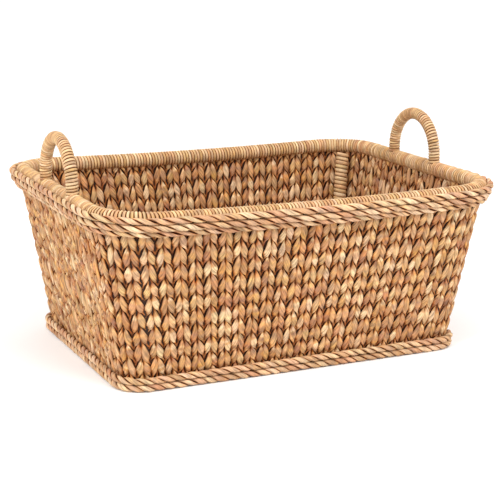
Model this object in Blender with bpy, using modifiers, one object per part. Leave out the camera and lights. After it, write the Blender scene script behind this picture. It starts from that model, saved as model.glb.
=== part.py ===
# Large rectangular storage basket woven from water hyacinth, with two fixed hoop handles.
# Metres, +Z up, +X along the length. The origin is the middle of the footprint, on the floor.
# Front is -Y and left is -X.

import math

import bmesh
import bpy
from mathutils import Matrix, Vector

# Outline of the rim pole's centre line
RIM_HALF_LENGTH = 0.291
RIM_HALF_WIDTH = 0.212
RIM_CORNER_RADIUS = 0.068
RIM_HEIGHT = 0.242          # at the short sides
RIM_SAG = 0.0055            # how far the long sides dip at their middle
RIM_BOW = 0.0010            # how far the long sides bulge at their middle

# Outline of the base pole's centre line, which the walls stand on
BASE_HALF_LENGTH = 0.251
BASE_HALF_WIDTH = 0.168
BASE_CORNER_RADIUS = 0.028

# Poles and wraps
RIM_POLE_RADIUS = 0.0085
RIM_WRAP_THICKNESS = 0.0027
RIM_WRAP_LAP = 0.015        # how far the long wraps run on past each corner
BASE_POLE_RADIUS = 0.0050
POST_RADIUS = 0.0075
POST_WRAP_THICKNESS = 0.0027
POST_TO_WALL = 0.0015

# Woven walls and base
WALL_THICKNESS = 0.010
BASE_THICKNESS = 0.009
WIRE_RADIUS = 0.0015
WIRE_COUNT = 9
BAR_RADIUS = 0.0025
BAR_SPACING = 0.120

# Twisted ropes round the rim and the base
ROPE_RADIUS = 0.00475
UPPER_ROPE_ANGLE = math.radians(7)

# Hoop handles
HANDLE_LEG_SPACING = 0.116
HANDLE_RISE = 0.0765        # rim centre line to the arch's centre line
HANDLE_SHIFT = 0.012        # off the middle: the right one backwards, the left one forwards
HANDLE_CORE_RADIUS = 0.0050
HANDLE_WRAP_THICKNESS = 0.0037
SOCKET_SKIN = 0.0001        # pole left under the corners of a leg socket
PIN_RADIUS = 0.0015
PIN_INSET = 0.0004          # pin end below the pole's surface

# Fits
GAP = 0.0003                # between pieces that touch
HOLE_CLEARANCE = 0.0005     # on the radius of a hole round a wire, bar or pin

# Facets
CORNER_STEPS = 4
LONG_SIDE_STEPS = 4
ARCH_STEPS = 10
SLEEVE_ROUNDNESS = 3        # ten sides on the thick poles and their wraps
SLEEVE_SIDES = 10
WIRE_ROUNDNESS = 0          # four sides on the wires and their channels
SOCKET_SIDES = 10
CONTACT_STEPS = 12          # passes that settle a rope between the rope above it and the wall

# Sizes that follow
RIM_WRAP_RADIUS = RIM_POLE_RADIUS + GAP + RIM_WRAP_THICKNESS
POST_WRAP_RADIUS = POST_RADIUS + GAP + POST_WRAP_THICKNESS
HANDLE_WRAP_RADIUS = HANDLE_CORE_RADIUS + GAP + HANDLE_WRAP_THICKNESS
SOCKET_RADIUS = (HANDLE_CORE_RADIUS + GAP) / math.cos(math.pi / SOCKET_SIDES)
SOCKET_REACH = RIM_POLE_RADIUS * math.cos(math.pi / SLEEVE_SIDES) - SOCKET_SKIN
SOCKET_DEPTH = math.sqrt(SOCKET_REACH ** 2 - SOCKET_RADIUS ** 2) - GAP
WALL_BOTTOM = 2 * GAP + 2 * BASE_POLE_RADIUS
WALL_TOP = RIM_HEIGHT - RIM_WRAP_RADIUS - GAP
ROPE_PITCH = 2 * ROPE_RADIUS + GAP
LEAN = math.atan((RIM_HALF_WIDTH - BASE_HALF_WIDTH) / (WALL_TOP - WALL_BOTTOM))

SIDES = {"left": -1, "right": 1}
ENDS = {"front": -1, "back": 1}

# Corners in order round the outline, with the signs of x and y
CORNERS = (
    ("back_right", 1, 1),
    ("back_left", -1, 1),
    ("front_left", -1, -1),
    ("front_right", 1, -1),
)


def clear_scene():
    for obj in list(bpy.data.objects):
        bpy.data.objects.remove(obj, do_unlink=True)


def make_collection(name):
    collection = bpy.data.collections.new(name)
    bpy.context.scene.collection.children.link(collection)
    return collection


def make_material(name, color, roughness, metallic=0.0):
    material = bpy.data.materials.new(name)
    material.use_nodes = True
    shader = material.node_tree.nodes["Principled BSDF"]
    shader.inputs["Base Color"].default_value = (*color, 1.0)
    shader.inputs["Roughness"].default_value = roughness
    shader.inputs["Metallic"].default_value = metallic
    return material


clear_scene()
PARTS = make_collection("hyacinth_basket")
CUTTERS = make_collection("hyacinth_basket_cutters")

WEAVE = make_material("woven_hyacinth", (0.52, 0.28, 0.13), 0.70)
ROPE = make_material("twisted_hyacinth", (0.58, 0.35, 0.18), 0.65)
WRAP = make_material("wrapped_hyacinth", (0.48, 0.28, 0.12), 0.65)
RATTAN = make_material("rattan_pole", (0.62, 0.45, 0.25), 0.50)
STEEL = make_material("drawn_steel_wire", (0.45, 0.44, 0.42), 0.40, 1.0)
DOWEL = make_material("hardwood_dowel", (0.40, 0.24, 0.12), 0.60)


# ---- outline ----

class Station:
    """One place on an outline: a point, and the directions out of and along the outline."""

    def __init__(self, point, out, along):
        self.point = point
        self.out = out
        self.along = along

    def moved(self, outward=0.0, forward=0.0, up=0.0):
        return self.point + self.out * outward + self.along * forward + Vector((0, 0, up))


def outline(half_length, half_width, radius, height, bow=0.0, sag=0.0, long_steps=LONG_SIDE_STEPS):
    """Stations anticlockwise round a rounded rectangle whose long sides bulge and dip."""
    flat = []
    for number, (_, sign_x, sign_y) in enumerate(CORNERS):
        center = Vector((sign_x * (half_length - radius), sign_y * (half_width - radius)))
        for step in range(CORNER_STEPS + 1):
            angle = (number + step / CORNER_STEPS) * math.pi / 2
            out = Vector((math.cos(angle), math.sin(angle)))
            flat.append((center + out * radius, out))
        if sign_x * sign_y > 0:
            for step in range(1, long_steps):
                shift = 2 * (half_length - radius) * step / long_steps
                side = Vector((center.x - sign_x * shift, sign_y * half_width))
                flat.append((side, Vector((0, sign_y))))

    stations = []
    for point, out in flat:
        middle = 1 - (point.x / half_length) ** 2
        stretch = 1 + bow / half_width * middle
        skew = -2 * bow / half_width * point.x * point.y / half_length ** 2
        along = Vector((-out.y, out.x * stretch - out.y * skew, 0)).normalized()
        place = Vector((point.x, point.y * stretch, height - sag * middle))
        stations.append(Station(place, Vector((along.y, -along.x, 0)), along))
    return stations


BASE_LINE = outline(BASE_HALF_LENGTH, BASE_HALF_WIDTH, BASE_CORNER_RADIUS, WALL_BOTTOM)
RIM_LINE = outline(RIM_HALF_LENGTH, RIM_HALF_WIDTH, RIM_CORNER_RADIUS, RIM_HEIGHT, RIM_BOW, RIM_SAG)
WALL_TOP_LINE = outline(RIM_HALF_LENGTH, RIM_HALF_WIDTH, RIM_CORNER_RADIUS, WALL_TOP, RIM_BOW, RIM_SAG)

# Where each wall panel starts and stops in the outline
CORNER_START = {}
start = 0
for corner, sign_x, sign_y in CORNERS:
    CORNER_START[corner] = start
    start += CORNER_STEPS + (LONG_SIDE_STEPS if sign_x * sign_y > 0 else 1)
PANELS = {
    "wall_back": (CORNER_START["back_right"] + CORNER_STEPS, CORNER_START["back_left"]),
    "wall_left": (CORNER_START["back_left"] + CORNER_STEPS, CORNER_START["front_left"]),
    "wall_front": (CORNER_START["front_left"] + CORNER_STEPS, CORNER_START["front_right"]),
    "wall_right": (CORNER_START["front_right"] + CORNER_STEPS, len(RIM_LINE)),
}
for corner, first in CORNER_START.items():
    PANELS["wall_corner_" + corner] = (first, first + CORNER_STEPS)


def wall_station(index, share):
    """The wall's middle surface at a share of its height, 0 at the base and 1 at the top."""
    low = BASE_LINE[index % len(BASE_LINE)]
    high = WALL_TOP_LINE[index % len(WALL_TOP_LINE)]
    out = low.out.lerp(high.out, share).normalized()
    return Station(low.point.lerp(high.point, share), out, Vector((-out.y, out.x, 0)))


def wall_share(height):
    return (height - WALL_BOTTOM) / (WALL_TOP - WALL_BOTTOM)


# ---- building blocks ----

def add_mesh_object(name, mesh, material):
    obj = bpy.data.objects.new(name, mesh)
    PARTS.objects.link(obj)
    mesh.materials.clear()
    mesh.materials.append(material)
    return obj


def add_cutter(name, mesh):
    obj = bpy.data.objects.new(name, mesh)
    CUTTERS.objects.link(obj)
    obj.display_type = "WIRE"
    obj.hide_render = True
    return obj


def cut(obj, cutter):
    modifier = obj.modifiers.new(cutter.name, "BOOLEAN")
    modifier.operation = "DIFFERENCE"
    modifier.solver = "EXACT"
    modifier.object = cutter


def smooth(mesh):
    mesh.shade_smooth()
    mesh.set_sharp_from_angle(angle=math.radians(50))


def tube_mesh(name, points, radius, closed=False, caps=True, roundness=2):
    """The mesh of a round tube along a path."""
    curve = bpy.data.curves.new(name + "_path", "CURVE")
    curve.dimensions = "3D"
    curve.twist_mode = "Z_UP"
    curve.bevel_depth = radius
    curve.bevel_resolution = roundness
    curve.use_fill_caps = caps and not closed
    spline = curve.splines.new("POLY")
    spline.points.add(len(points) - 1)
    for spot, point in zip(spline.points, points):
        spot.co = (*point, 1.0)
    spline.use_cyclic_u = closed

    guide = bpy.data.objects.new(name + "_path", curve)
    PARTS.objects.link(guide)
    evaluated = guide.evaluated_get(bpy.context.evaluated_depsgraph_get())
    mesh = bpy.data.meshes.new_from_object(evaluated)
    mesh.transform(guide.matrix_world)
    bpy.data.objects.remove(guide, do_unlink=True)
    bpy.data.curves.remove(curve)

    shape = bmesh.new()
    shape.from_mesh(mesh)
    bmesh.ops.remove_doubles(shape, verts=shape.verts, dist=0.00001)
    shape.to_mesh(mesh)
    shape.free()
    mesh.name = name
    smooth(mesh)
    return mesh


def add_tube(name, points, radius, material, closed=False, roundness=2):
    mesh = tube_mesh(name, points, radius, closed=closed, roundness=roundness)
    return add_mesh_object(name, mesh, material)


def add_sleeve(name, points, radius, thickness, material):
    """An open-ended tube with a wall of its own."""
    mesh = tube_mesh(name, points, radius, caps=False, roundness=SLEEVE_ROUNDNESS)
    obj = add_mesh_object(name, mesh, material)
    wall = obj.modifiers.new("wall", "SOLIDIFY")
    wall.thickness = thickness
    wall.offset = -1
    return obj


def rods_mesh(name, rods, segments=10):
    """Straight round rods in one mesh, each given by its two ends and its radius."""
    shape = bmesh.new()
    for start_point, end_point, radius in rods:
        axis = end_point - start_point
        turn = Vector((0, 0, 1)).rotation_difference(axis).to_matrix().to_4x4()
        place = Matrix.Translation((start_point + end_point) / 2) @ turn
        bmesh.ops.create_cone(
            shape, cap_ends=True, segments=segments, radius1=radius, radius2=radius,
            depth=axis.length, matrix=place)
    mesh = bpy.data.meshes.new(name)
    shape.to_mesh(mesh)
    shape.free()
    return mesh


def slanted_rod_mesh(name, low, high, radius, segments=12):
    """A rod whose ends are level, between two points at different heights."""
    rise = high - low
    slant = Matrix.Identity(4)
    slant[0][2] = rise.x / rise.z
    slant[1][2] = rise.y / rise.z
    place = Matrix.Translation((low + high) / 2) @ slant
    shape = bmesh.new()
    bmesh.ops.create_cone(
        shape, cap_ends=True, segments=segments, radius1=radius, radius2=radius,
        depth=rise.z, matrix=place)
    mesh = bpy.data.meshes.new(name)
    shape.to_mesh(mesh)
    shape.free()
    smooth(mesh)
    return mesh


# ---- rim and base poles ----

def handle_legs():
    """The x and y of each handle leg, by name."""
    legs = {}
    for side, sign_x in SIDES.items():
        for end, sign_y in ENDS.items():
            y = sign_x * HANDLE_SHIFT + sign_y * HANDLE_LEG_SPACING / 2
            legs[side + "_" + end] = (sign_x * RIM_HALF_LENGTH, y)
    return legs


def build_leg_cutters():
    sockets = []
    mouths = []
    pin_holes = []
    above = RIM_HEIGHT + 2 * RIM_WRAP_RADIUS
    for x, y in handle_legs().values():
        socket_floor = Vector((x, y, RIM_HEIGHT - SOCKET_DEPTH - GAP))
        sockets.append((socket_floor, Vector((x, y, above)), SOCKET_RADIUS))
        mouths.append((Vector((x, y, RIM_HEIGHT)), Vector((x, y, above)), SOCKET_RADIUS))
        reach = Vector((RIM_POLE_RADIUS + PIN_INSET, 0, 0))
        middle = Vector((x, y, RIM_HEIGHT))
        pin_holes.append((middle - reach, middle + reach, PIN_RADIUS + HOLE_CLEARANCE))
    return (
        add_cutter("leg_sockets", rods_mesh("leg_sockets", sockets, SOCKET_SIDES)),
        add_cutter("wrap_mouths", rods_mesh("wrap_mouths", mouths, SOCKET_SIDES)),
        add_cutter("pin_holes", rods_mesh("pin_holes", pin_holes, 8)),
    )


def build_rim_pole(sockets, pin_holes):
    path = [s.point for s in RIM_LINE]
    pole = add_tube("rim_pole", path, RIM_POLE_RADIUS, RATTAN, closed=True, roundness=SLEEVE_ROUNDNESS)
    cut(pole, sockets)
    cut(pole, pin_holes)


def build_base_pole():
    drop = -(GAP + BASE_POLE_RADIUS)
    path = [s.moved(up=drop) for s in BASE_LINE]
    add_tube("base_pole", path, BASE_POLE_RADIUS, RATTAN, closed=True)


def build_rim_wraps(mouths):
    for name, start_corner, end_corner in (
            ("rim_wrap_front", "front_left", "front_right"),
            ("rim_wrap_back", "back_right", "back_left")):
        first = CORNER_START[start_corner]
        last = CORNER_START[end_corner] + CORNER_STEPS
        run = RIM_LINE[first:last + 1]
        path = [run[0].moved(forward=-RIM_WRAP_LAP)]
        path += [s.point for s in run]
        path.append(run[-1].moved(forward=RIM_WRAP_LAP))
        add_sleeve(name, path, RIM_WRAP_RADIUS, RIM_WRAP_THICKNESS, WRAP)

    half = RIM_HALF_WIDTH - RIM_CORNER_RADIUS - RIM_WRAP_LAP - GAP
    for side, sign_x in SIDES.items():
        x = sign_x * RIM_HALF_LENGTH
        path = [Vector((x, -half, RIM_HEIGHT)), Vector((x, half, RIM_HEIGHT))]
        wrap = add_sleeve("rim_wrap_" + side, path, RIM_WRAP_RADIUS, RIM_WRAP_THICKNESS, WRAP)
        cut(wrap, mouths)


# ---- walls ----

def wire_share(number):
    return number / (WIRE_COUNT + 1)


def wire_path(number):
    return [wall_station(index, wire_share(number)).point for index in range(len(RIM_LINE))]


def build_wires():
    for number in range(1, WIRE_COUNT + 1):
        add_tube(
            "wall_wire_%d" % number, wire_path(number), WIRE_RADIUS, STEEL, closed=True,
            roundness=WIRE_ROUNDNESS)


def build_wire_channels():
    shape = bmesh.new()
    for number in range(1, WIRE_COUNT + 1):
        radius = WIRE_RADIUS + HOLE_CLEARANCE
        ring = tube_mesh(
            "channel", wire_path(number), radius, closed=True, roundness=WIRE_ROUNDNESS)
        shape.from_mesh(ring)
        bpy.data.meshes.remove(ring)
    mesh = bpy.data.meshes.new("wire_channels")
    shape.to_mesh(mesh)
    shape.free()
    return add_cutter("wire_channels", mesh)


def build_wall_panel(name, first, last, channels):
    """A woven panel between two stations, lofted from the base outline to the rim outline."""
    shape = bmesh.new()
    ribs = []
    for index in range(first, last + 1):
        forward = GAP / 2 if index == first else -GAP / 2 if index == last else 0.0
        corners = []
        for share, outward in ((0, 0.5), (1, 0.5), (1, -0.5), (0, -0.5)):
            place = wall_station(index, share).moved(outward * WALL_THICKNESS, forward)
            corners.append(shape.verts.new(place))
        ribs.append(corners)
    for rib, following in zip(ribs, ribs[1:]):
        for number in range(4):
            beside = (number + 1) % 4
            shape.faces.new((rib[number], following[number], following[beside], rib[beside]))
    shape.faces.new(ribs[0])
    shape.faces.new(reversed(ribs[-1]))
    bmesh.ops.recalc_face_normals(shape, faces=shape.faces)
    mesh = bpy.data.meshes.new(name)
    shape.to_mesh(mesh)
    shape.free()
    panel = add_mesh_object(name, mesh, WEAVE)
    cut(panel, channels)


# ---- corner posts ----

def post_point(corner, height):
    """The centre line of a corner post, which stands just inside the corner of the wall."""
    middle = CORNER_START[corner] + CORNER_STEPS // 2
    station = wall_station(middle, wall_share(height))
    inward = WALL_THICKNESS / 2 + POST_TO_WALL + POST_WRAP_RADIUS
    place = station.moved(outward=-inward)
    place.z = height
    return place


def build_corner_posts():
    for corner, _, _ in CORNERS:
        middle = CORNER_START[corner] + CORNER_STEPS // 2
        foot = BASE_THICKNESS + GAP
        top = WALL_TOP_LINE[middle].point.z
        low = post_point(corner, foot)
        high = post_point(corner, top)
        core = slanted_rod_mesh("corner_post_" + corner, low, high, POST_RADIUS)
        add_mesh_object("corner_post_" + corner, core, RATTAN)

        wrap = slanted_rod_mesh("corner_wrap_" + corner, low, high, POST_WRAP_RADIUS)
        sleeve = add_mesh_object("corner_wrap_" + corner, wrap, WRAP)
        overrun = (high - low) * 0.05
        bore = slanted_rod_mesh("bore_" + corner, low - overrun, high + overrun, POST_RADIUS + GAP)
        cut(sleeve, add_cutter("bore_" + corner, bore))


# ---- base ----

def build_base():
    half_length = BASE_HALF_LENGTH - BASE_POLE_RADIUS - GAP
    half_width = BASE_HALF_WIDTH - BASE_POLE_RADIUS - GAP
    radius = BASE_CORNER_RADIUS - BASE_POLE_RADIUS - GAP
    curve = bpy.data.curves.new("base_panel_outline", "CURVE")
    curve.dimensions = "2D"
    curve.fill_mode = "BOTH"
    curve.extrude = BASE_THICKNESS / 2
    edge = outline(half_length, half_width, radius, 0.0, long_steps=1)
    spline = curve.splines.new("POLY")
    spline.points.add(len(edge) - 1)
    for spot, station in zip(spline.points, edge):
        spot.co = (station.point.x, station.point.y, 0.0, 1.0)
    spline.use_cyclic_u = True

    guide = bpy.data.objects.new("base_panel_outline", curve)
    PARTS.objects.link(guide)
    evaluated = guide.evaluated_get(bpy.context.evaluated_depsgraph_get())
    mesh = bpy.data.meshes.new_from_object(evaluated)
    bpy.data.objects.remove(guide, do_unlink=True)
    shape = bmesh.new()
    shape.from_mesh(mesh)
    bmesh.ops.remove_doubles(shape, verts=shape.verts, dist=0.00001)
    bmesh.ops.translate(shape, verts=shape.verts, vec=(0, 0, BASE_THICKNESS / 2))
    bmesh.ops.recalc_face_normals(shape, faces=shape.faces)
    shape.to_mesh(mesh)
    shape.free()
    mesh.name = "base_panel"
    panel = add_mesh_object("base_panel", mesh, WEAVE)

    channels = []
    height = BASE_THICKNESS / 2
    for name, position in (("left", -1), ("middle", 0), ("right", 1)):
        x = position * BAR_SPACING
        ends = [Vector((x, sign_y * half_width, height)) for sign_y in (-1, 1)]
        beyond = [Vector((x, sign_y * (half_width + BASE_POLE_RADIUS), height)) for sign_y in (-1, 1)]
        bar = rods_mesh("base_bar_" + name, [(ends[0], ends[1], BAR_RADIUS)], 8)
        smooth(bar)
        add_mesh_object("base_bar_" + name, bar, RATTAN)
        channels.append((beyond[0], beyond[1], BAR_RADIUS + HOLE_CLEARANCE))
    cut(panel, add_cutter("bar_channels", rods_mesh("bar_channels", channels, 8)))


# ---- ropes ----

def lower_rope_point(index, middle_outward, middle_up):
    """Where the lowest rim rope rests against both the middle rope and the wall."""
    rim = RIM_LINE[index]
    low = BASE_LINE[index]
    high = WALL_TOP_LINE[index]
    slope = (high.point - low.point).dot(rim.out) / (high.point.z - low.point.z)
    beside = (ROPE_RADIUS + GAP) * math.sqrt(1 + slope ** 2) + WALL_THICKNESS / 2
    outward = beside
    for _ in range(CONTACT_STEPS):
        up = middle_up - math.sqrt(ROPE_PITCH ** 2 - (middle_outward - outward) ** 2)
        outward = beside + slope * (rim.point.z + up - high.point.z)
    return rim.moved(outward=outward, up=up)


def build_ropes():
    rim_reach = RIM_WRAP_RADIUS + GAP + ROPE_RADIUS
    step = 2 * math.asin(ROPE_PITCH / (2 * rim_reach))
    middle_angle = UPPER_ROPE_ANGLE - step
    upper = (rim_reach * math.cos(UPPER_ROPE_ANGLE), rim_reach * math.sin(UPPER_ROPE_ANGLE))
    middle = (rim_reach * math.cos(middle_angle), rim_reach * math.sin(middle_angle))
    for name, (outward, up) in (("upper", upper), ("middle", middle)):
        path = [s.moved(outward=outward, up=up) for s in RIM_LINE]
        add_tube("rim_rope_" + name, path, ROPE_RADIUS, ROPE, closed=True)
    path = [lower_rope_point(index, *middle) for index in range(len(RIM_LINE))]
    add_tube("rim_rope_lower", path, ROPE_RADIUS, ROPE, closed=True)

    lower_height = GAP + ROPE_RADIUS
    outward = BASE_POLE_RADIUS + GAP + ROPE_RADIUS
    path = [s.moved(outward=outward, up=lower_height - WALL_BOTTOM) for s in BASE_LINE]
    add_tube("base_rope_lower", path, ROPE_RADIUS, ROPE, closed=True)

    upper_height = lower_height + ROPE_PITCH
    outward = WALL_THICKNESS / 2 + (ROPE_RADIUS + GAP) / math.cos(LEAN)
    path = []
    for index in range(len(BASE_LINE)):
        place = wall_station(index, wall_share(upper_height)).moved(outward=outward)
        place.z = upper_height
        path.append(place)
    add_tube("base_rope_upper", path, ROPE_RADIUS, ROPE, closed=True)


# ---- handles ----

def arch_path(sign_x, foot_height):
    """Up one leg, over a half circle and down the other leg."""
    reach = HANDLE_LEG_SPACING / 2
    middle = Vector((sign_x * RIM_HALF_LENGTH, sign_x * HANDLE_SHIFT, 0))
    shoulder = RIM_HEIGHT + HANDLE_RISE - reach
    path = [middle + Vector((0, -reach, foot_height))]
    for step in range(ARCH_STEPS + 1):
        angle = math.pi * step / ARCH_STEPS
        bend = Vector((0, -reach * math.cos(angle), shoulder + reach * math.sin(angle)))
        path.append(middle + bend)
    path.append(middle + Vector((0, reach, foot_height)))
    return path


def build_handles(pin_holes):
    clearances = []
    for sign_x in SIDES.values():
        x = sign_x * RIM_HALF_LENGTH
        ends = [Vector((x, sign_y * HANDLE_LEG_SPACING, RIM_HEIGHT)) for sign_y in (-1, 1)]
        clearances.append((ends[0], ends[1], RIM_WRAP_RADIUS + GAP))
    rim_clearance = add_cutter("rim_clearance", rods_mesh("rim_clearance", clearances, 20))

    for side, sign_x in SIDES.items():
        core_path = arch_path(sign_x, RIM_HEIGHT - SOCKET_DEPTH)
        core = add_tube(
            "handle_core_" + side, core_path, HANDLE_CORE_RADIUS, RATTAN,
            roundness=SLEEVE_ROUNDNESS)
        cut(core, pin_holes)
        wrap = add_sleeve(
            "handle_wrap_" + side, arch_path(sign_x, RIM_HEIGHT), HANDLE_WRAP_RADIUS,
            HANDLE_WRAP_THICKNESS, WRAP)
        cut(wrap, rim_clearance)

    reach = Vector((RIM_POLE_RADIUS - PIN_INSET, 0, 0))
    for leg, (x, y) in handle_legs().items():
        middle = Vector((x, y, RIM_HEIGHT))
        pin = rods_mesh("handle_pin_" + leg, [(middle - reach, middle + reach, PIN_RADIUS)], 8)
        smooth(pin)
        add_mesh_object("handle_pin_" + leg, pin, DOWEL)


leg_sockets, wrap_mouths, pin_holes = build_leg_cutters()
build_rim_pole(leg_sockets, pin_holes)
build_base_pole()
build_rim_wraps(wrap_mouths)
wire_channels = build_wire_channels()
build_wires()
for panel_name, (first, last) in PANELS.items():
    build_wall_panel(panel_name, first, last, wire_channels)
build_corner_posts()
build_base()
build_ropes()
build_handles(pin_holes)
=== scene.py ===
import math

import bpy
from mathutils import Matrix, Vector


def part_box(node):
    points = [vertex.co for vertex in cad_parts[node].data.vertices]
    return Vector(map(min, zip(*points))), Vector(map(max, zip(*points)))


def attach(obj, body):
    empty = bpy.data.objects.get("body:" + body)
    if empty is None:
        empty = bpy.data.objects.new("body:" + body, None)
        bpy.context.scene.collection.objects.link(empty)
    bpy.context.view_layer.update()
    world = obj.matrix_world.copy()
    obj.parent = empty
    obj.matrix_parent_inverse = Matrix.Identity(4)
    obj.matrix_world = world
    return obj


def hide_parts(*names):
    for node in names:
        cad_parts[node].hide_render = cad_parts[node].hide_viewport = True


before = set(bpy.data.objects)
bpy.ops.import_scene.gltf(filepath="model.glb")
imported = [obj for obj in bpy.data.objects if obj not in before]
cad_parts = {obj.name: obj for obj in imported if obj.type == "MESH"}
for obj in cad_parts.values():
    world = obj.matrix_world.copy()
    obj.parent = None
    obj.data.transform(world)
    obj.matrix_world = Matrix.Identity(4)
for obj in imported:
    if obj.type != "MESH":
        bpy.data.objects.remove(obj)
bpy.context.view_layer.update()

print("frame loaded:", len(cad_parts), "nodes")


def addNode(tree, kind, links=None, **settings):
    node = tree.nodes.new(kind)
    for key, value in settings.items():
        setattr(node, key, value)
    for key, value in (links or {}).items():
        if isinstance(value, bpy.types.Node):
            value = value.outputs[0]
        if isinstance(value, bpy.types.NodeSocket):
            tree.links.new(value, node.inputs[key])
        else:
            node.inputs[key].default_value = value
    return node


def hexColor(code):
    parts = [int(code[i:i + 2], 16) / 255 for i in (1, 3, 5)]
    return tuple(p / 12.92 if p <= 0.04045 else ((p + 0.055) / 1.055) ** 2.4 for p in parts) + (1.0,)


def linkObject(name, mesh):
    made = bpy.data.objects.new(name, mesh)
    bpy.context.scene.collection.objects.link(made)
    return made


def standFor(piece, slot, *nodes):
    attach(piece, "root")
    if nodes:
        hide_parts(*nodes)


# Dried water hyacinth: flat ribbed leaf stalks, so long soft streaks, patchy straw to tan colour and a dull
# waxy sheen.
# Painted shade: a warm edge colour, then near-black brown, multiplied in where the strands dive under each
# other.
hyacinth = {
    "twined": {"tones": ("#BD875B", "#CC9866", "#D6A470", "#DFB17E", "#EFCDA2"),
               "dark": "#461C08", "edge": "#D6AC84", "shadeFrom": 0.22, "shadeTo": 0.86,
               "streak": 0.62, "blotch": 0.22, "roughness": 0.60},
    "twisted": {"tones": ("#CC9C72", "#D7A97F", "#E0B68B", "#E8C297", "#F1D0A8"),
                "dark": "#4C200A", "edge": "#DDB48C", "shadeFrom": 0.50, "shadeTo": 0.93,
                "streak": 0.56, "blotch": 0.18, "roughness": 0.62},
    "wound": {"tones": ("#CFA372", "#D8AE7D", "#DFB887", "#E6C294", "#EFD0A6"),
              "dark": "#4C220C", "edge": "#D8B088", "shadeFrom": 0.85, "shadeTo": 0.965,
              "streak": 0.46, "blotch": 0.14, "roughness": 0.58},
    "ribWidth": 0.0026,     # spacing of the ribs that still show, the real ones are nearer 0.8 mm
    "fineWidth": 0.0009,
    "fineShare": 0.4,       # how much of the pattern the fine ribs make
    "ribLength": 0.016,
    "patchSize": 0.012,
    "patchLoose": 0.6,      # patches are wider than they are long by this much
    "toneWander": 0.28,     # how far a strand's tone drifts along it
    "hues": (0.487, 0.508), # from pinkish to straw yellow
    "richness": 0.12,
    "drawSpread": 137.0,    # turns one random tone into a second random draw
    "edgePlace": 0.55,      # how far up the painted shade the warm edge colour lies
    "bumpHeight": 0.0005,
    "ior": 1.45,
    "gloss": 0.2,           # loose dry fibre scatters most of its gloss
}


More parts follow.
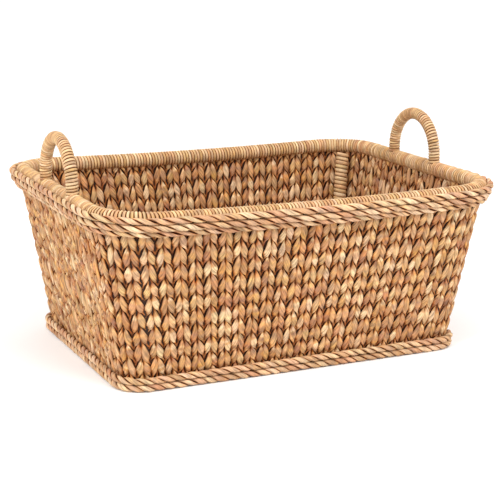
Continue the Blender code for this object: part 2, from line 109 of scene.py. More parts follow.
def makeHyacinth(name, look):
    material = bpy.data.materials.new(name)
    material.use_nodes = True
    tree = material.node_tree
    shader = tree.nodes["Principled BSDF"]
    tone = addNode(tree, "ShaderNodeAttribute", attribute_name="tone").outputs["Fac"]
    fibre = addNode(tree, "ShaderNodeAttribute", attribute_name="fibre").outputs["Vector"]
    depth = addNode(tree, "ShaderNodeAttribute", attribute_name="depth").outputs["Fac"]
    patch, loose = hyacinth["patchSize"], hyacinth["patchLoose"]
    rib, fineRib, ribLength = hyacinth["ribWidth"], hyacinth["fineWidth"], hyacinth["ribLength"]
    wander, rich, blotch = hyacinth["toneWander"], hyacinth["richness"], look["blotch"]

    # each strand has a tone, and wanders round it in patches
    patches = addNode(tree, "ShaderNodeMapping", {
        "Vector": fibre, "Scale": (loose / patch, loose / patch, 1 / patch)})
    patchNoise = addNode(tree, "ShaderNodeTexNoise", {
        "Vector": patches, "Scale": 1.0, "Detail": 2.0, "Roughness": 0.6})
    drift = addNode(tree, "ShaderNodeMapRange", {0: patchNoise, 1: 0.25, 2: 0.75, 3: -wander, 4: wander})
    toned = addNode(tree, "ShaderNodeMath", {0: tone, 1: drift}, operation="ADD", use_clamp=True)
    ramp = addNode(tree, "ShaderNodeValToRGB", {"Fac": toned})
    stops = ramp.color_ramp.elements
    for number, code in enumerate(look["tones"]):
        place = number / (len(look["tones"]) - 1)
        stop = stops[0] if number == 0 else stops[-1] if place == 1 else stops.new(place)
        stop.position = place
        stop.color = hexColor(code)

    # a second draw from the same tone turns some strands pinkish and some straw yellow
    draw = addNode(tree, "ShaderNodeMath", {0: tone, 1: hyacinth["drawSpread"]}, operation="MULTIPLY")
    hueDraw = addNode(tree, "ShaderNodeTexWhiteNoise", {"W": draw}, noise_dimensions="1D")
    hueShift = addNode(tree, "ShaderNodeMapRange", {
        0: hueDraw, 1: 0.0, 2: 1.0, 3: hyacinth["hues"][0], 4: hyacinth["hues"][1]})
    richness = addNode(tree, "ShaderNodeMapRange", {0: patchNoise, 1: 0.3, 2: 0.7, 3: 1 - rich, 4: 1 + rich})
    tinted = addNode(tree, "ShaderNodeHueSaturation", {
        "Hue": hueShift, "Saturation": richness, "Color": ramp})

    # ribs of the dried leaf stalk
    ribs = addNode(tree, "ShaderNodeMapping", {"Vector": fibre, "Scale": (1 / rib, 1 / rib, 1 / ribLength)})
    ribNoise = addNode(tree, "ShaderNodeTexNoise", {"Vector": ribs, "Scale": 1.0, "Detail": 1.0})
    fine = addNode(tree, "ShaderNodeMapping", {
        "Vector": fibre, "Scale": (1 / fineRib, 1 / fineRib, 0.8 / ribLength)})
    fineNoise = addNode(tree, "ShaderNodeTexNoise", {"Vector": fine, "Scale": 1.0, "Detail": 2.0})
    ribMix = addNode(tree, "ShaderNodeMix", {"Factor": hyacinth["fineShare"], "A": ribNoise, "B": fineNoise})
    streak = addNode(tree, "ShaderNodeMapRange", {0: ribMix, 1: 0.32, 2: 0.62, 3: 1 - look["streak"], 4: 1.08})
    mottle = addNode(tree, "ShaderNodeMapRange", {
        0: patchNoise, 1: 0.3, 2: 0.7, 3: 1 - blotch, 4: 1 + blotch * 0.5})
    light = addNode(tree, "ShaderNodeMath", {0: streak, 1: mottle}, operation="MULTIPLY")
    streaked = addNode(tree, "ShaderNodeVectorMath", {0: tinted, "Scale": light.outputs[0]}, operation="SCALE")

    # painted shade: a warm shadow colour, then near black, multiplied in where it dives under its neighbour
    shade = addNode(tree, "ShaderNodeMapRange", {
        0: depth, 1: look["shadeFrom"], 2: look["shadeTo"], 3: 0.0, 4: 1.0}, interpolation_type="SMOOTHSTEP")
    paintedShade = addNode(tree, "ShaderNodeValToRGB", {"Fac": shade})
    paintedShade.color_ramp.elements[0].color = hexColor(look["dark"])
    paintedShade.color_ramp.elements[1].color = hexColor("#FFFFFF")
    paintedShade.color_ramp.elements.new(hyacinth["edgePlace"]).color = hexColor(look["edge"])
    color = addNode(tree, "ShaderNodeMix", {"Factor": 1.0, "A": streaked, "B": paintedShade},
                    data_type="RGBA", blend_type="MULTIPLY")
    tree.links.new(color.outputs["Result"], shader.inputs["Base Color"])
    bump = addNode(tree, "ShaderNodeBump", {
        "Height": ribMix, "Strength": 0.6, "Distance": hyacinth["bumpHeight"]})
    tree.links.new(bump.outputs[0], shader.inputs["Normal"])
    shader.inputs["Roughness"].default_value = look["roughness"]
    shader.inputs["IOR"].default_value = hyacinth["ior"]
    shader.inputs["Specular IOR Level"].default_value = hyacinth["gloss"]
    return material


def makeGrained(name, light, dark, grainWidth, roughness, metallic=0.0):
    material = bpy.data.materials.new(name)
    material.use_nodes = True
    tree = material.node_tree
    shader = tree.nodes["Principled BSDF"]
    place = addNode(tree, "ShaderNodeTexCoord").outputs["Object"]
    grain = addNode(tree, "ShaderNodeTexNoise", {
        "Vector": place, "Scale": 1 / grainWidth, "Detail": 4.0, "Roughness": 0.65})
    blend = addNode(tree, "ShaderNodeMapRange", {0: grain, 1: 0.35, 2: 0.65, 3: 0.0, 4: 1.0})
    color = addNode(tree, "ShaderNodeMix", {"Factor": blend, "A": hexColor(dark), "B": hexColor(light)},
                    data_type="RGBA")
    tree.links.new(color.outputs["Result"], shader.inputs["Base Color"])
    bump = addNode(tree, "ShaderNodeBump", {"Height": grain, "Strength": 0.3, "Distance": 0.0003})
    tree.links.new(bump.outputs[0], shader.inputs["Normal"])
    shader.inputs["Roughness"].default_value = roughness
    shader.inputs["Metallic"].default_value = metallic
    return material


twinedHyacinth = makeHyacinth("driedHyacinthTwined", hyacinth["twined"])
twistedHyacinth = makeHyacinth("driedHyacinthTwisted", hyacinth["twisted"])
woundHyacinth = makeHyacinth("driedHyacinthWound", hyacinth["wound"])
# Painted shade: a matte, deep brown sheet, mottled, that stands for the shadow seen through the gaps of the
# weave.
gapShadeSheetFinish = makeGrained("paintedGapShade", "#3A2010", "#1E0F06", 0.004, 0.9)
# Rattan with its skin on: straw colour, slightly glossy, faint darker flecks.
rattan = makeGrained("rattanPole", "#B98D58", "#8A6238", 0.006, 0.45)
# Annealed iron wire: dull grey brown with a soft metallic sheen, lost in the dark gaps.
annealedWire = makeGrained("annealedIronWire", "#4A3F38", "#2E2622", 0.003, 0.6, 0.7)
# Beech dowel: pale pinkish wood with a fine even grain.
beechDowel = makeGrained("beechDowel", "#C79B6C", "#A87B50", 0.002, 0.55)

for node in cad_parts:
    cadPiece = bpy.data.objects.get(node)
    if cadPiece is None:
        continue
    finish = None
    if node.startswith("wall_wire"):
        finish = annealedWire
    elif node.startswith("handle_pin"):
        finish = beechDowel
    elif node in ("rim_pole", "base_pole") or node.startswith(("corner_post", "handle_core", "base_bar")):
        finish = rattan
    if finish:
        for slot in cadPiece.material_slots:
            slot.material = finish
print("materials made")

outlineShape = {
    "rimCorner": 0.068,     # corner radius of the rim's centre line
    "rimSag": 0.0055,       # dip of the long sides at their middle
    "rimBow": 0.0010,       # bulge of the long sides at their middle
    "baseCorner": 0.028,
    "stepsPerSide": 40,
    "guideStride": 4,       # ropes and wraps follow every fourth place
}

wallLow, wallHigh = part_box("wall_left")
poleLow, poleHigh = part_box("rim_pole")
basePoleLow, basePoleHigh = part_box("base_pole")
rimPoleRadius = (poleHigh.z - poleLow.z - outlineShape["rimSag"]) / 2
basePoleRadius = (basePoleHigh.z - basePoleLow.z) / 2
rimHeight = poleHigh.z - rimPoleRadius
rimHalfLength = poleHigh.x - rimPoleRadius
rimHalfWidth = poleHigh.y - rimPoleRadius - outlineShape["rimBow"]
baseHalfLength = basePoleHigh.x - basePoleRadius
baseHalfWidth = basePoleHigh.y - basePoleRadius


def roundedRing(halfLength, halfWidth, radius, height, bow=0.0, sag=0.0):
    # places and outward directions, anticlockwise from the right end of the back right corner
    steps = outlineShape["stepsPerSide"]
    flat = []
    for corner, (signX, signY) in enumerate(((1, 1), (-1, 1), (-1, -1), (1, -1))):
        center = Vector((signX * (halfLength - radius), signY * (halfWidth - radius)))
        for step in range(steps):
            angle = (corner + step / steps) * math.pi / 2
            out = Vector((math.cos(angle), math.sin(angle)))
            flat.append((center + out * radius, out))
        angle = (corner + 1) * math.pi / 2
        out = Vector((math.cos(angle), math.sin(angle)))
        run = 2 * ((halfLength if signX * signY > 0 else halfWidth) - radius)
        along = Vector((-out.y, out.x))
        for step in range(steps):
            flat.append((center + out * radius + along * run * step / steps, out))
    ring = []
    for point, out in flat:
        middle = 1 - (point.x / halfLength) ** 2
        stretch = 1 + bow / halfWidth * middle
        skew = -2 * bow / halfWidth * point.x * point.y / halfLength ** 2
        along = Vector((-out.y, out.x * stretch - out.y * skew, 0)).normalized()
        place = Vector((point.x, point.y * stretch, height - sag * middle))
        ring.append((place, Vector((along.y, -along.x, 0))))
    return ring


def ringLengths(ring):
    total = [0.0]
    for number in range(len(ring)):
        total.append(total[-1] + (ring[(number + 1) % len(ring)][0] - ring[number][0]).length)
    return total


def ringAt(ring, lengths, share):
    target = (share % 1.0) * lengths[-1]
    low, high = 0, len(lengths) - 1
    while high - low > 1:
        middle = (low + high) // 2
        if lengths[middle] <= target:
            low = middle
        else:
            high = middle
    step = lengths[low + 1] - lengths[low]
    part = (target - lengths[low]) / step if step else 0.0
    (placeA, outA), (placeB, outB) = ring[low], ring[(low + 1) % len(ring)]
    return placeA.lerp(placeB, part), outA.lerp(outB, part).normalized()


rimRing = roundedRing(rimHalfLength, rimHalfWidth, outlineShape["rimCorner"], rimHeight,
                      outlineShape["rimBow"], outlineShape["rimSag"])
baseRing = roundedRing(baseHalfLength, baseHalfWidth, outlineShape["baseCorner"], wallLow.z)
topRing = [(place + Vector((0, 0, wallHigh.z - rimHeight)), out) for place, out in rimRing]
print("outlines laid")

strandInputs = {
    "Guide": "Geometry", "Plies": "Int", "Steps Per Turn": "Int", "Strand Sides": "Int",
    "Reach Out": "Float", "Reach Side": "Float", "Side Roll": "Float", "Lead Out": "Float",
    "Half Width": "Float", "Half Thickness": "Float", "Pinch": "Float", "Phase": "Float",
    "Twist Jitter": "Float", "Unevenness": "Float", "Sway": "Float", "Turn Length": "Float",
    "Tones Per Turn": "Float", "Tone Shift": "Float", "Side Shade": "Float", "Seed": "Int",
    "Material": "Material",
}
strandHabit = {
    "waverScale": 30.0,     # the winding hand wavers over about 33 mm
    "lumpScale": 1.7,       # lumps in each turn
    "swingScale": 0.9,      # sideways swings in each turn
    "fibreStep": 0.137,     # moves each strand to its own part of the fibre pattern
    "toneStep": 1009.0,     # more than the tones on any one strand
}


def makeStrandTree():
    tree = bpy.data.node_groups.new("windStrands", "GeometryNodeTree")
    for name, kind in strandInputs.items():
        tree.interface.new_socket(name=name, in_out="INPUT", socket_type="NodeSocket" + kind)
    tree.interface.new_socket(name="Strands", in_out="OUTPUT", socket_type="NodeSocketGeometry")
    given = addNode(tree, "NodeGroupInput").outputs
    place = addNode(tree, "GeometryNodeInputPosition")
    stored = {}
    for name in ("out", "side", "home", "section", "turns", "ident", "turn", "strandId"):
        kind = "FLOAT_VECTOR" if name in ("out", "side", "home", "section") else "FLOAT"
        stored[name] = addNode(tree, "GeometryNodeInputNamedAttribute", {"Name": name}, data_type=kind)
    out, side, turns, turn = stored["out"], stored["side"], stored["turns"], stored["turn"]
    strand = stored["strandId"]

    # one copy of the guide for each ply
    curves = addNode(tree, "GeometryNodeMeshToCurve", {"Mesh": given["Guide"]})
    count = addNode(tree, "ShaderNodeMath", {0: turns, 1: given["Steps Per Turn"], 2: 1.0},
                    operation="MULTIPLY_ADD")
    resampled = addNode(tree, "GeometryNodeResampleCurve", {"Curve": curves, "Count": count}, mode="COUNT")
    copies = addNode(tree, "GeometryNodeDuplicateElements", {"Geometry": resampled, "Amount": given["Plies"]},
                     domain="SPLINE")
    copyNumber = copies.outputs["Duplicate Index"]
    newId = addNode(tree, "ShaderNodeMath", {0: stored["ident"], 1: given["Plies"], 2: copyNumber},
                    operation="MULTIPLY_ADD")
    named = addNode(tree, "GeometryNodeStoreNamedAttribute", {
        "Geometry": copies, "Name": "strandId", "Value": newId}, data_type="FLOAT")
    homed = addNode(tree, "GeometryNodeStoreNamedAttribute", {
        "Geometry": named, "Name": "home", "Value": place}, data_type="FLOAT_VECTOR")

    # how many turns it has made at each point, with a wavering hand
    factor = addNode(tree, "GeometryNodeSplineParameter").outputs["Factor"]
    ply = addNode(tree, "ShaderNodeMath", {0: copyNumber, 1: given["Plies"]}, operation="DIVIDE")
    lead = addNode(tree, "ShaderNodeMath", {0: ply, 1: given["Phase"]}, operation="ADD")
    waver = addNode(tree, "ShaderNodeTexNoise", {
        "Vector": place, "W": stored["ident"], "Scale": strandHabit["waverScale"], "Detail": 0.0},
        noise_dimensions="4D")
    waverOff = addNode(tree, "ShaderNodeMath", {0: waver, 1: 0.5}, operation="SUBTRACT")
    shaken = addNode(tree, "ShaderNodeMath", {0: waverOff, 1: given["Twist Jitter"], 2: lead},
                     operation="MULTIPLY_ADD")
    newTurn = addNode(tree, "ShaderNodeMath", {0: turns, 1: factor, 2: shaken}, operation="MULTIPLY_ADD")
    turned = addNode(tree, "GeometryNodeStoreNamedAttribute", {
        "Geometry": homed, "Name": "turn", "Value": newTurn}, data_type="FLOAT")

    # out and back on the wave's sine, from side to side on its cosine
    angle = addNode(tree, "ShaderNodeMath", {0: turn, 1: math.tau}, operation="MULTIPLY")
    led = addNode(tree, "ShaderNodeMath", {0: given["Lead Out"], 1: math.tau, 2: angle},
                  operation="MULTIPLY_ADD")
    sine = addNode(tree, "ShaderNodeMath", {0: led}, operation="SINE")
    cosine = addNode(tree, "ShaderNodeMath", {0: angle}, operation="COSINE")
    outPart = addNode(tree, "ShaderNodeVectorMath", {0: out, "Scale": sine}, operation="SCALE")
    sidePart = addNode(tree, "ShaderNodeVectorMath", {0: side, "Scale": cosine}, operation="SCALE")
    sideRoll = addNode(tree, "ShaderNodeVectorMath", {0: sidePart, "Scale": given["Side Roll"]},
                       operation="SCALE")
    rolled = addNode(tree, "ShaderNodeVectorMath", {0: outPart, 1: sideRoll}, operation="ADD")
    facing = addNode(tree, "ShaderNodeVectorMath", {0: rolled}, operation="NORMALIZE")
    spot = addNode(tree, "ShaderNodeCombineXYZ", {"X": turn, "Y": strand, "Z": given["Seed"]})
    lump = addNode(tree, "ShaderNodeTexNoise", {
        "Vector": spot, "Scale": strandHabit["lumpScale"], "Detail": 1.0})
    swing = addNode(tree, "ShaderNodeTexNoise", {
        "Vector": spot, "Scale": strandHabit["swingScale"], "Detail": 0.0})
    swingOff = addNode(tree, "ShaderNodeMath", {0: swing, 1: 0.5}, operation="SUBTRACT")
    swung = addNode(tree, "ShaderNodeMath", {0: swingOff, 1: given["Sway"]}, operation="MULTIPLY")
    swayed = addNode(tree, "ShaderNodeVectorMath", {0: side, "Scale": swung}, operation="SCALE")
    outMove = addNode(tree, "ShaderNodeVectorMath", {0: outPart, "Scale": given["Reach Out"]},
                      operation="SCALE")
    sideMove = addNode(tree, "ShaderNodeVectorMath", {0: sidePart, "Scale": given["Reach Side"]},
                       operation="SCALE")
    shift = addNode(tree, "ShaderNodeVectorMath", {0: outMove, 1: sideMove}, operation="ADD")
    move = addNode(tree, "ShaderNodeVectorMath", {0: shift, 1: swayed}, operation="ADD")
    wound = addNode(tree, "GeometryNodeSetPosition", {"Geometry": turned, "Offset": move})
    faced = addNode(tree, "GeometryNodeSetCurveNormal", {"Curve": wound, "Normal": facing}, mode="FREE")

    # flat oval section, narrower where it passes edge on and uneven along its length
    circle = addNode(tree, "GeometryNodeCurvePrimitiveCircle", {
        "Resolution": given["Strand Sides"], "Radius": 1.0})
    shape = addNode(tree, "ShaderNodeCombineXYZ", {
        "X": given["Half Thickness"], "Y": given["Half Width"], "Z": 1.0})
    section = addNode(tree, "GeometryNodeTransform", {"Geometry": circle, "Scale": shape})
    profile = addNode(tree, "GeometryNodeStoreNamedAttribute", {
        "Geometry": section, "Name": "section", "Value": place}, data_type="FLOAT_VECTOR")
    flatOn = addNode(tree, "ShaderNodeMath", {0: sine}, operation="ABSOLUTE")
    edgeOn = addNode(tree, "ShaderNodeMath", {0: 1.0, 1: flatOn}, operation="SUBTRACT")
    edgeSquare = addNode(tree, "ShaderNodeMath", {0: edgeOn, 1: edgeOn}, operation="MULTIPLY")
    pinched = addNode(tree, "ShaderNodeMath", {0: edgeSquare, 1: given["Pinch"]}, operation="MULTIPLY")
    narrow = addNode(tree, "ShaderNodeMath", {0: 1.0, 1: pinched}, operation="SUBTRACT")
    lumpOff = addNode(tree, "ShaderNodeMath", {0: lump, 1: 0.5}, operation="SUBTRACT")
    lumps = addNode(tree, "ShaderNodeMath", {0: lumpOff, 1: given["Unevenness"], 2: 1.0},
                    operation="MULTIPLY_ADD")
    fullness = addNode(tree, "ShaderNodeMath", {0: narrow, 1: lumps}, operation="MULTIPLY")
    mesh = addNode(tree, "GeometryNodeCurveToMesh", {
        "Curve": faced, "Profile Curve": profile, "Scale": fullness, "Fill Caps": True})

    # what the materials read: place along the fibres, one tone for each visible length, and depth, which they
    # turn into painted shade
    length = addNode(tree, "ShaderNodeMath", {0: turn, 1: given["Turn Length"]}, operation="MULTIPLY")
    along = addNode(tree, "ShaderNodeMath", {0: strand, 1: strandHabit["fibreStep"], 2: length},
                    operation="MULTIPLY_ADD")
    lengthwise = addNode(tree, "ShaderNodeCombineXYZ", {"Z": along})
    fibre = addNode(tree, "ShaderNodeVectorMath", {0: stored["section"], 1: lengthwise}, operation="ADD")
    fibred = addNode(tree, "GeometryNodeStoreNamedAttribute", {
        "Geometry": mesh, "Name": "fibre", "Value": fibre}, data_type="FLOAT_VECTOR")
    leafPlace = addNode(tree, "ShaderNodeMath", {
        0: turn, 1: given["Tones Per Turn"], 2: given["Tone Shift"]}, operation="MULTIPLY_ADD")
    leaf = addNode(tree, "ShaderNodeMath", {0: leafPlace}, operation="FLOOR")
    leaves = addNode(tree, "ShaderNodeMath", {0: turns, 1: given["Tones Per Turn"]}, operation="MULTIPLY")
    leafRound = addNode(tree, "ShaderNodeMath", {0: leaf, 1: leaves}, operation="FLOORED_MODULO")
    leafId = addNode(tree, "ShaderNodeMath", {0: strand, 1: strandHabit["toneStep"], 2: leafRound},
                     operation="MULTIPLY_ADD")
    tone = addNode(tree, "FunctionNodeRandomValue", {"ID": leafId, "Seed": given["Seed"]})
    toned = addNode(tree, "GeometryNodeStoreNamedAttribute", {
        "Geometry": fibred, "Name": "tone", "Value": tone.outputs[1]}, data_type="FLOAT")
    # depth: how far the surface lies from the strand's line, read by the materials as painted shade in the
    # hollows
    away = addNode(tree, "ShaderNodeVectorMath", {0: place, 1: stored["home"]}, operation="SUBTRACT")
    outward = addNode(tree, "ShaderNodeVectorMath", {0: away, 1: out}, operation="DOT_PRODUCT")
    proud = addNode(tree, "ShaderNodeMath", {0: outward.outputs["Value"]}, operation="ABSOLUTE")
    far = addNode(tree, "ShaderNodeVectorMath", {0: away}, operation="LENGTH")
    reach = addNode(tree, "ShaderNodeMath", {0: given["Reach Out"], 1: given["Half Thickness"]},
                    operation="ADD")
    blend = addNode(tree, "ShaderNodeMix", {
        "Factor": given["Side Shade"], "A": far.outputs["Value"], "B": proud})
    depth = addNode(tree, "ShaderNodeMath", {0: blend, 1: reach}, operation="DIVIDE", use_clamp=True)
    deep = addNode(tree, "GeometryNodeStoreNamedAttribute", {
        "Geometry": toned, "Name": "depth", "Value": depth}, data_type="FLOAT")

    smooth = addNode(tree, "GeometryNodeSetShadeSmooth", {"Geometry": deep})
    real = addNode(tree, "GeometryNodeRealizeInstances", {"Geometry": smooth})
    done = addNode(tree, "GeometryNodeSetMaterial", {"Geometry": real, "Material": given["Material"]})
    addNode(tree, "NodeGroupOutput", {"Strands": done})
    return tree


strandTree = makeStrandTree()
strandSockets = {item.name: item.identifier for item in strandTree.interface.items_tree
                 if item.in_out == "INPUT"}


def windStrands(name, guides, values, material):
    # each guide is a line of points, with the out and side direction at each and its number of turns
    guideMesh = bpy.data.meshes.new(name + "Guide")
    places, edges, outs, sides, turns, idents = [], [], [], [], [], []
    for number, guide in enumerate(guides):
        first = len(places)
        amount = len(guide["points"])
        places += guide["points"]
        outs += guide["out"]
        sides += guide["side"]
        turns += [guide["turns"]] * amount
        idents += [float(guide.get("ident", number))] * amount
        edges += [(first + step, first + step + 1) for step in range(amount - 1)]
        if guide.get("closed"):
            edges.append((first + amount - 1, first))
    guideMesh.from_pydata(places, edges, [])
    for key, data in (("out", outs), ("side", sides)):
        flat = [part for vector in data for part in vector]
        guideMesh.attributes.new(key, "FLOAT_VECTOR", "POINT").data.foreach_set("vector", flat)
    for key, data in (("turns", turns), ("ident", idents)):
        guideMesh.attributes.new(key, "FLOAT", "POINT").data.foreach_set("value", data)

    piece = linkObject(name, guideMesh)
    modifier = piece.modifiers.new("strands", "NODES")
    modifier.node_group = strandTree
    for key, value in values.items():
        modifier[strandSockets[key]] = value
    modifier[strandSockets["Material"]] = material
    evaluated = piece.evaluated_get(bpy.context.evaluated_depsgraph_get())
    result = bpy.data.meshes.new_from_object(evaluated)
    piece.modifiers.remove(modifier)
    piece.data = result
    bpy.data.meshes.remove(guideMesh)
    for key in ("out", "side", "turns", "ident", "home", "turn", "strandId", "section"):
        if key in result.attributes:
            result.attributes.remove(result.attributes[key])
    result.name = name
    print(name, len(result.polygons), "faces")
    return piece


weave = {
    "halfColumns": 172,     # pairs round the basket, two make one V
    "overTop": 0.004,       # run on behind the rim
    "underBottom": 0.003,
    "centring": 10,         # how strongly the middle of a side is sought
    "nominalWidth": 0.010,  # pair spacing that the widths below are for
    "endWalls": {"Twist Jitter": 1.1, "Sway": 0.0040},   # the ends are woven less evenly
    "values": {"Plies": 2, "Steps Per Turn": 14, "Strand Sides": 8, "Reach Out": 0.0027, "Reach Side": 0.0028,
               "Side Roll": 0.55, "Lead Out": -0.06, "Half Width": 0.0053, "Half Thickness": 0.0028,
               "Pinch": 0.45, "Phase": -0.25, "Twist Jitter": 0.34, "Unevenness": 0.45, "Sway": 0.0022,
               "Turn Length": 0.05,
               "Tones Per Turn": 2.0, "Tone Shift": 0.17, "Side Shade": 0.8, "Seed": 3},
}
wireCount = len([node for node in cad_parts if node.startswith("wall_wire_")])


def panelAt(place):
    cornerSize = (outlineShape["rimCorner"] + outlineShape["baseCorner"]) / 2
    endways = abs(place.x) > (baseHalfLength + rimHalfLength) / 2 - cornerSize
    sideways = abs(place.y) > (baseHalfWidth + rimHalfWidth) / 2 - cornerSize
    x = "left" if place.x < 0 else "right"
    y = "front" if place.y < 0 else "back"
    if endways and sideways:
        return "wall_corner_%s_%s" % (y, x)
    return "wall_" + (x if endways else y)


def weaveGuides():
    # the pairs share out each quarter of the base outline and of the rim outline alike
    marks, lengths = {}, {}
    rings = {"base": baseRing, "top": topRing}
    for label, ring in rings.items():
        lengths[label] = ringLengths(ring)
        marks[label] = []
        for axis, sign in ((0, 1), (1, 1), (0, -1), (1, -1)):
            middle = max(range(len(ring)), key=lambda spot: (
                sign * ring[spot][0][axis] - weave["centring"] * abs(ring[spot][0][1 - axis])))
            marks[label].append(lengths[label][middle] / lengths[label][-1])
    perQuarter = weave["halfColumns"] // 4
    panels = {}
    for number in range(weave["halfColumns"]):
        quarter, step = divmod(number, perQuarter)
        share = (step + 0.5) / perQuarter
        ends = []
        for label, ring in rings.items():
            first, last = marks[label][quarter], marks[label][(quarter + 1) % 4]
            last += 1.0 if last < first else 0.0
            place, out = ringAt(ring, lengths[label], first + (last - first) * share)
            ends.append((place, out, (last - first) * lengths[label][-1] / perQuarter))
        (low, lowOut, lowGap), (high, highOut, highGap) = ends
        line = (high - low).normalized()
        hand = 1 if number % 2 else -1
        outs, sides = [], []
        for out, gap in ((lowOut, lowGap), (highOut, highGap)):
            side = line.cross(out).normalized()
            outs.append(side.cross(line).normalized())
            sides.append(side * hand * gap / weave["nominalWidth"])
        panels.setdefault(panelAt((low + high) / 2), []).append({
            "points": [low - line * weave["underBottom"], high + line * weave["overTop"]],
            "out": outs, "side": sides, "turns": (wireCount + 1) / 2, "ident": number})
    return panels


for node, guides in sorted(weaveGuides().items()):
    values = dict(weave["values"], **(weave["endWalls"] if node in ("wall_left", "wall_right") else {}))
    piece = windStrands(node.replace("wall", "weave"), guides, values, twinedHyacinth)
    standFor(piece, "weave", node)
print("walls woven")

# a thin dark sheet in the middle of the weave closes the gaps between the pairs: painted shade, where the gaps
# would show shadow
core = {"halfThickness": 0.0006, "places": 240}


def makeShadeSheet():
    amount = core["places"]
    places, faces = [], []
    for number in range(amount):
        low, lowOut = baseRing[number * len(baseRing) // amount]
        high, highOut = topRing[number * len(topRing) // amount]
        inset = core["halfThickness"]
        places += [low + lowOut * inset, high + highOut * inset, high - highOut * inset, low - lowOut * inset]
    for number in range(amount):
        first, after = number * 4, (number + 1) % amount * 4
        for corner in range(4):
            beside = (corner + 1) % 4
            faces.append((first + corner, after + corner, after + beside, first + beside))
    mesh = bpy.data.meshes.new("weaveCore")
    mesh.from_pydata(places, [], faces)
    mesh.materials.append(gapShadeSheetFinish)
    return linkObject("weaveCore", mesh)


standFor(makeShadeSheet(), "weave")

rope = {
    "rimPitch": 0.040,      # length of one full turn
    "basePitch": 0.031,
    "baseTurnLength": 0.034,
    "baseLift": 0.0005,     # keeps the lumps of the foot off the floor
    "values": {"Plies": 2, "Steps Per Turn": 14, "Strand Sides": 8, "Reach Out": 0.0023, "Reach Side": 0.0023,
               "Side Roll": 1.0, "Lead Out": 0.0, "Half Width": 0.0034, "Half Thickness": 0.0026, "Pinch": 0.0,
               "Phase": 0.0, "Twist Jitter": 0.25, "Unevenness": 0.55, "Sway": 0.0010, "Turn Length": 0.042,
               "Tones Per Turn": 1.0, "Tone Shift": 0.25, "Side Shade": 0.0, "Seed": 5},
}


def ringGuide(ring, outward, up, pitch, ident=0):
    points, outs = [], []
    for place, out in ring[::outlineShape["guideStride"]]:
        points.append(place + out * outward + Vector((0, 0, up)))
        outs.append(out)
    length = sum((points[number] - points[number - 1]).length for number in range(len(points)))
    return {"points": points, "out": outs, "side": [Vector((0, 0, 1))] * len(points),
            "turns": round(length / pitch), "closed": True, "ident": ident}


ropeNodes = ("rim_rope_upper", "rim_rope_middle", "rim_rope_lower", "base_rope_upper", "base_rope_lower")
for number, node in enumerate(ropeNodes):
    low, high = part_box(node)
    onRim = node.startswith("rim")
    radius = (high.z - low.z - (outlineShape["rimSag"] if onRim else 0.0)) / 2
    outward = high.x - radius - (rimHalfLength if onRim else baseHalfLength)
    up = high.z - radius - (rimHeight if onRim else wallLow.z - rope["baseLift"])
    pitch = rope["rimPitch" if onRim else "basePitch"]
    guide = ringGuide(rimRing if onRim else baseRing, outward, up, pitch, number)
    values = dict(rope["values"])
    if not onRim:
        values["Turn Length"] = rope["baseTurnLength"]
    piece = windStrands(node.replace("_rope_", "Rope_"), [guide], values, twistedHyacinth)
    standFor(piece, "rope", node)
print("ropes laid")

wrap = {
    "rimPitch": 0.0048,
    "values": {"Plies": 1, "Steps Per Turn": 12, "Strand Sides": 6, "Reach Out": 0.0092, "Reach Side": 0.0092,
               "Side Roll": 1.0, "Lead Out": 0.0, "Half Width": 0.0023, "Half Thickness": 0.0023, "Pinch": 0.0,
               "Phase": 0.0, "Twist Jitter": 0.0, "Unevenness": 0.30, "Sway": 0.0, "Turn Length": 0.065,
               "Tones Per Turn": 1.0, "Tone Shift": -0.25, "Side Shade": 0.0, "Seed": 7},
}
piece = windStrands("rimWrap", [ringGuide(rimRing, 0, 0, wrap["rimPitch"])], wrap["values"], woundHyacinth)
standFor(piece, "wrap", "rim_wrap_front", "rim_wrap_back", "rim_wrap_left", "rim_wrap_right")

handleWrap = {
    "pitch": 0.0042,
    "footAboveRim": 0.008,  # starts inside the rim's own wrap
    "archSteps": 24,
    "values": dict(wrap["values"], **{"Reach Out": 0.0072, "Reach Side": 0.0072, "Half Width": 0.0021,
                                      "Half Thickness": 0.0018, "Turn Length": 0.046, "Seed": 11}),
}


def handleGuide(sideName):
    low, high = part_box("handle_core_" + sideName)
    coreRadius = (high.x - low.x) / 2
    reach = (high.y - low.y) / 2 - coreRadius
    x, y = (high.x + low.x) / 2, (high.y + low.y) / 2
    shoulder = high.z - coreRadius - reach
    foot = rimHeight + handleWrap["footAboveRim"]
    path = [Vector((x, y - reach, foot)), Vector((x, y - reach, (foot + shoulder) / 2))]
    for step in range(handleWrap["archSteps"] + 1):
        angle = math.pi * step / handleWrap["archSteps"]
        path.append(Vector((x, y - reach * math.cos(angle), shoulder + reach * math.sin(angle))))
    path += [Vector((x, y + reach, (foot + shoulder) / 2)), Vector((x, y + reach, foot))]
    side = Vector((1, 0, 0))
    outs = []
    for number in range(len(path)):
        along = path[min(number + 1, len(path) - 1)] - path[max(number - 1, 0)]
        outs.append(along.normalized().cross(side))
    length = sum((path[number] - path[number - 1]).length for number in range(1, len(path)))
    return {"points": path, "out": outs, "side": [side] * len(path),
            "turns": round(length / handleWrap["pitch"])}


for sideName in ("left", "right"):
    piece = windStrands("handleWrap_" + sideName, [handleGuide(sideName)], handleWrap["values"], woundHyacinth)
    standFor(piece, "wrap", "handle_wrap_" + sideName)

postWrap = {
    "pitch": 0.0066,
    "postRadius": 0.0075,
    "values": dict(wrap["values"], **{"Reach Out": 0.0086, "Reach Side": 0.0086, "Half Width": 0.0032,
                                      "Half Thickness": 0.0021, "Turn Length": 0.055, "Seed": 13}),
}


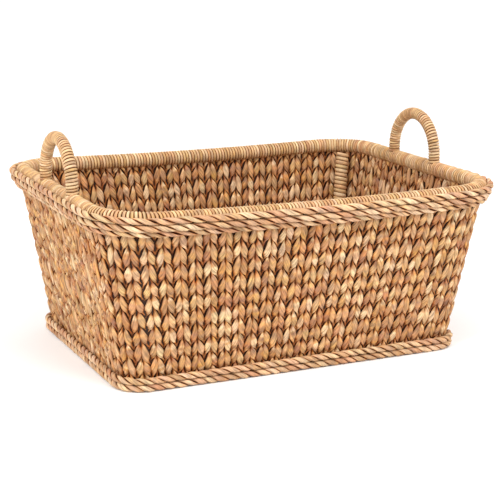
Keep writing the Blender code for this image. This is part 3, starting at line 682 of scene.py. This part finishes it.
def postGuide(corner):
    low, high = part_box("corner_post_" + corner)
    signX = -1 if corner.endswith("left") else 1
    signY = -1 if corner.startswith("front") else 1
    nearX, farX = sorted((abs(low.x), abs(high.x)))
    nearY, farY = sorted((abs(low.y), abs(high.y)))
    radius = postWrap["postRadius"]
    foot = Vector((signX * (nearX + radius), signY * (nearY + radius), low.z))
    top = Vector((signX * (farX - radius), signY * (farY - radius), high.z))
    line = (top - foot).normalized()
    side = line.cross(Vector((0, 1, 0))).normalized()
    out = side.cross(line)
    return {"points": [foot, top], "out": [out, out], "side": [side, side],
            "turns": round((top - foot).length / postWrap["pitch"])}


for corner in ("front_left", "front_right", "back_left", "back_right"):
    piece = windStrands("postWrap_" + corner, [postGuide(corner)], postWrap["values"], woundHyacinth)
    standFor(piece, "wrap", "corner_wrap_" + corner)
print("wraps wound")

baseWeave = {
    "pairSpacing": 0.0100,
    "rowLength": 0.022,
    "values": dict(weave["values"], **{"Reach Out": 0.0019, "Half Thickness": 0.0020, "Half Width": 0.0045,
                                       "Side Roll": 0.35, "Twist Jitter": 0.15, "Sway": 0.0012,
                                       "Unevenness": 0.2, "Seed": 17}),
}


def baseGuides():
    low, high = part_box("base_panel")
    middle = (low.z + high.z) / 2
    pairs = int((high.y - low.y) / baseWeave["pairSpacing"])
    corner = outlineShape["baseCorner"] - basePoleRadius
    guides = []
    for pair in range(pairs):
        y = (pair + 0.5 - pairs / 2) * (high.y - low.y) / pairs
        over = abs(y) - (high.y - corner)
        reach = high.x - (corner - math.sqrt(max(corner ** 2 - over ** 2, 0)) if over > 0 else 0)
        hand = 1 if pair % 2 else -1
        guides.append({"points": [Vector((-reach, y, middle)), Vector((reach, y, middle))],
                       "out": [Vector((0, 0, 1))] * 2, "side": [Vector((0, hand, 0))] * 2,
                       "turns": round(2 * reach / baseWeave["rowLength"]) / 2})
    return guides


standFor(windStrands("baseWeave", baseGuides(), baseWeave["values"], twinedHyacinth), "weave", "base_panel")
print("base woven")

studio = {
    "floorSize": 12.0,
    "floorColor": "#F8F8F8",
    "floorRoughness": 0.95,
    "aimHeight": 0.12,      # the lights point at the middle of the basket
    "skyStrength": 1.08,
    "key": {"place": (-2.6, -1.2, 2.4), "size": 1.4, "power": 54},
    "fill": {"place": (0.7, -2.1, 2.4), "size": 1.8, "power": 40},
}

half = studio["floorSize"] / 2
floorMesh = bpy.data.meshes.new("floor")
floorCorners = [(-half, -half, 0), (half, -half, 0), (half, half, 0), (-half, half, 0)]
floorMesh.from_pydata(floorCorners, [], [(0, 1, 2, 3)])
floorMaterial = bpy.data.materials.new("paperSweep")  # matte white paper, no gloss
floorMaterial.use_nodes = True
floorShader = floorMaterial.node_tree.nodes["Principled BSDF"]
floorShader.inputs["Base Color"].default_value = hexColor(studio["floorColor"])
floorShader.inputs["Roughness"].default_value = studio["floorRoughness"]
floorMesh.materials.append(floorMaterial)
linkObject("floor", floorMesh)

view = {
    "azimuth": -25.61,      # degrees round from the front
    "elevation": 13.8,
    "distance": 2.0664,
    "target": (0.0052, 0.0, 0.1311),
    "lens": 100.46,
    "sensor": 36.0,
    "roll": 0.68,
}

azimuth, elevation = math.radians(view["azimuth"]), math.radians(view["elevation"])
level = math.cos(elevation)
away = Vector((math.sin(azimuth) * level, -math.cos(azimuth) * level, math.sin(elevation)))
cameraData = bpy.data.cameras.new("camera")
cameraData.lens = view["lens"]
cameraData.sensor_width = view["sensor"]
camera = linkObject("camera", cameraData)
facing = (-away).to_track_quat("-Z", "Y").to_matrix().to_4x4()
roll = Matrix.Rotation(math.radians(view["roll"]), 4, "Z")
camera.matrix_world = Matrix.Translation(Vector(view["target"]) + away * view["distance"]) @ facing @ roll
bpy.context.scene.camera = camera

world = bpy.data.worlds.new("studio")
world.use_nodes = True
world.node_tree.nodes["Background"].inputs["Color"].default_value = hexColor("#FFFFFF")
world.node_tree.nodes["Background"].inputs["Strength"].default_value = studio["skyStrength"]
bpy.context.scene.world = world
for name in ("key", "fill"):
    lightData = bpy.data.lights.new(name, "AREA")
    lightData.shape = "DISK"
    lightData.size = studio[name]["size"]
    lightData.energy = studio[name]["power"]
    light = linkObject(name, lightData)
    light.location = studio[name]["place"]
    aim = Vector((0, 0, studio["aimHeight"])) - light.location
    light.rotation_euler = aim.to_track_quat("-Z", "Y").to_euler()
bpy.context.scene.view_settings.view_transform = "Standard"
print("stage set")
